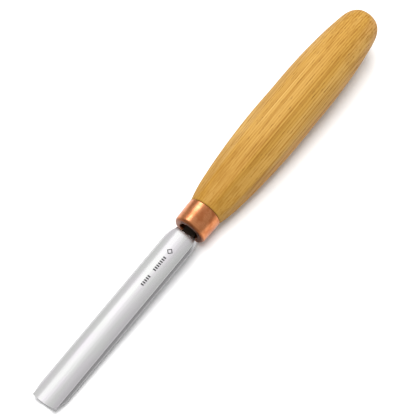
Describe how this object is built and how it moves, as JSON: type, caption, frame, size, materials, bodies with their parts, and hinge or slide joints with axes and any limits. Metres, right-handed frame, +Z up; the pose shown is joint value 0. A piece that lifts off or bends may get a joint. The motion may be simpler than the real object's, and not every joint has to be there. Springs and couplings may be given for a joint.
{
  "type": "carving gouge",
  "caption": "Palm carving gouge: channelled steel blade with a straight cutting edge and outside bevel, copper ferrule and softly faceted, swelling ash handle.",
  "frame": {"origin": "on the bench surface, under the middle of the tool's box as it lies at rest with its channel up", "axes": "+X along the bench from the cutting edge towards the butt, +Y across the tool, +Z up out of the channel; the tool's own axis rises about 4 degrees towards the butt"},
  "size_m": [0.2166, 0.023, 0.0251],
  "materials": {
    "steel": "satin polished, with fine marks along the blade",
    "copper": "bright copper with darker tarnished patches and fine turning marks",
    "ash": "oiled ash, fine straight grain along the handle",
    "resin": "dark hardened resin, hidden in the bore"
  },
  "bodies": {
    "root": {"blade": "steel", "ferrule": "copper", "handle": "ash", "tang_bedding": "resin"}
  },
  "joints": []
}
